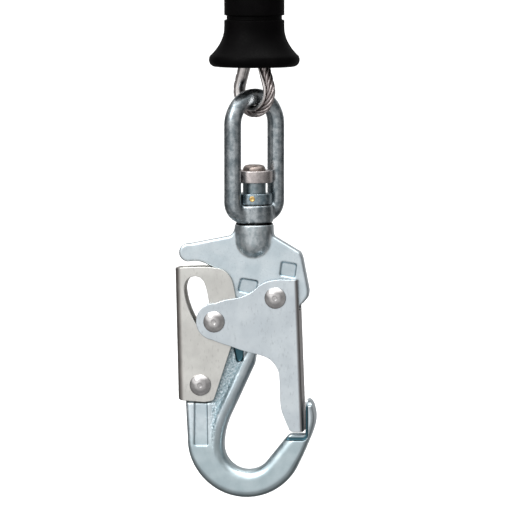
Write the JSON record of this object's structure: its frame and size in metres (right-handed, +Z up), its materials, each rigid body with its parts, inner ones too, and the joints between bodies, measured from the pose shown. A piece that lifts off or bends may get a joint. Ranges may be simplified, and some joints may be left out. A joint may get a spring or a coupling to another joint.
{
  "type": "self retracting lifeline",
  "caption": "Hook end of a self retracting lifeline: wire rope with rubber bumper, thimble, swivel eye with load indicator, and double action snap hook.",
  "frame": {"origin": "middle of the ferrule that seats in the drum, on the rope's axis", "axes": "+Z up the rope towards the drum; the hook lies in the XZ plane with its front facing -Y, its nose and gate on +X and its lever on -X"},
  "size_m": [0.0746, 0.048, 0.352],
  "materials": {
    "wire_rope": "stranded, dull",
    "stainless": "polished",
    "crimp_metal": "satin",
    "black_rubber": "matte",
    "black_plastic": "satin",
    "eye_steel": "zinc plated, bright",
    "bronze": "satin",
    "forged_zinc": "zinc plated, satin",
    "plate_zinc_gate": "zinc plated sheet",
    "plate_zinc_lever": "zinc plated sheet",
    "rivet_steel": "polished",
    "spring_steel": "oiled",
    "pin_brass": "satin"
  },
  "bodies": {
    "lifeline": {"lifeline_cable": "wire_rope", "thimble": "stainless", "lower_crimp_sleeve": "crimp_metal", "upper_crimp_sleeve": "crimp_metal", "drum_ferrule": "crimp_metal"},
    "bumper": {"bumper_shell": "black_rubber", "bumper_washer": "spring_steel", "bumper_guide": "black_plastic"},
    "eye": {"swivel_eye": "eye_steel", "swivel_bush": "bronze"},
    "hook": {"hook_body": "forged_zinc", "retaining_washer": "forged_zinc", "indicator_collar": "forged_zinc", "indicator_pin": "pin_brass", "swivel_seal": "black_rubber", "gate_pivot_rivet": "rivet_steel", "lever_pivot_rivet": "rivet_steel", "gate_spring": "spring_steel", "lever_spring": "spring_steel"},
    "gate": {"gate": "plate_zinc_gate", "arm_rivet": "rivet_steel", "arm_bush": "spring_steel"},
    "lever": {"lock_lever": "plate_zinc_lever"}
  },
  "joints": [
    {"name": "eye_swing", "type": "hinge", "parent": "lifeline", "child": "eye", "pos_m": [0, 0, -0.1311], "axis": [0.7071, 0.7071, 0], "range_deg": [-75, 75]},
    {"name": "hook_swivel", "type": "hinge", "parent": "eye", "child": "hook", "pos_m": [0, 0, -0.198], "axis": [0, 0, 1], "continuous": true},
    {"name": "lever_squeeze", "type": "hinge", "parent": "hook", "child": "lever", "pos_m": [-0.028, 0, -0.284], "axis": [0, 1, 0], "range_deg": [0, 10], "stiffness_Nm_per_rad": 0.8, "springref_deg": -20.05, "deforming": ["lever_spring"]},
    {"name": "gate_open", "type": "hinge", "parent": "hook", "child": "gate", "pos_m": [0.0122, 0, -0.237], "axis": [0, 1, 0], "range_deg": [0, 20], "stiffness_Nm_per_rad": 0.4, "springref_deg": -28.65, "deforming": ["gate_spring"]},
    {"name": "bumper_slide", "type": "slide", "parent": "lifeline", "child": "bumper", "axis": [0, 0, 1], "range_m": [0, 0.022]}
  ],
  "couplings": [
    {"joint": "gate_open", "follows": "lever_squeeze", "ratio": 2}
  ]
}
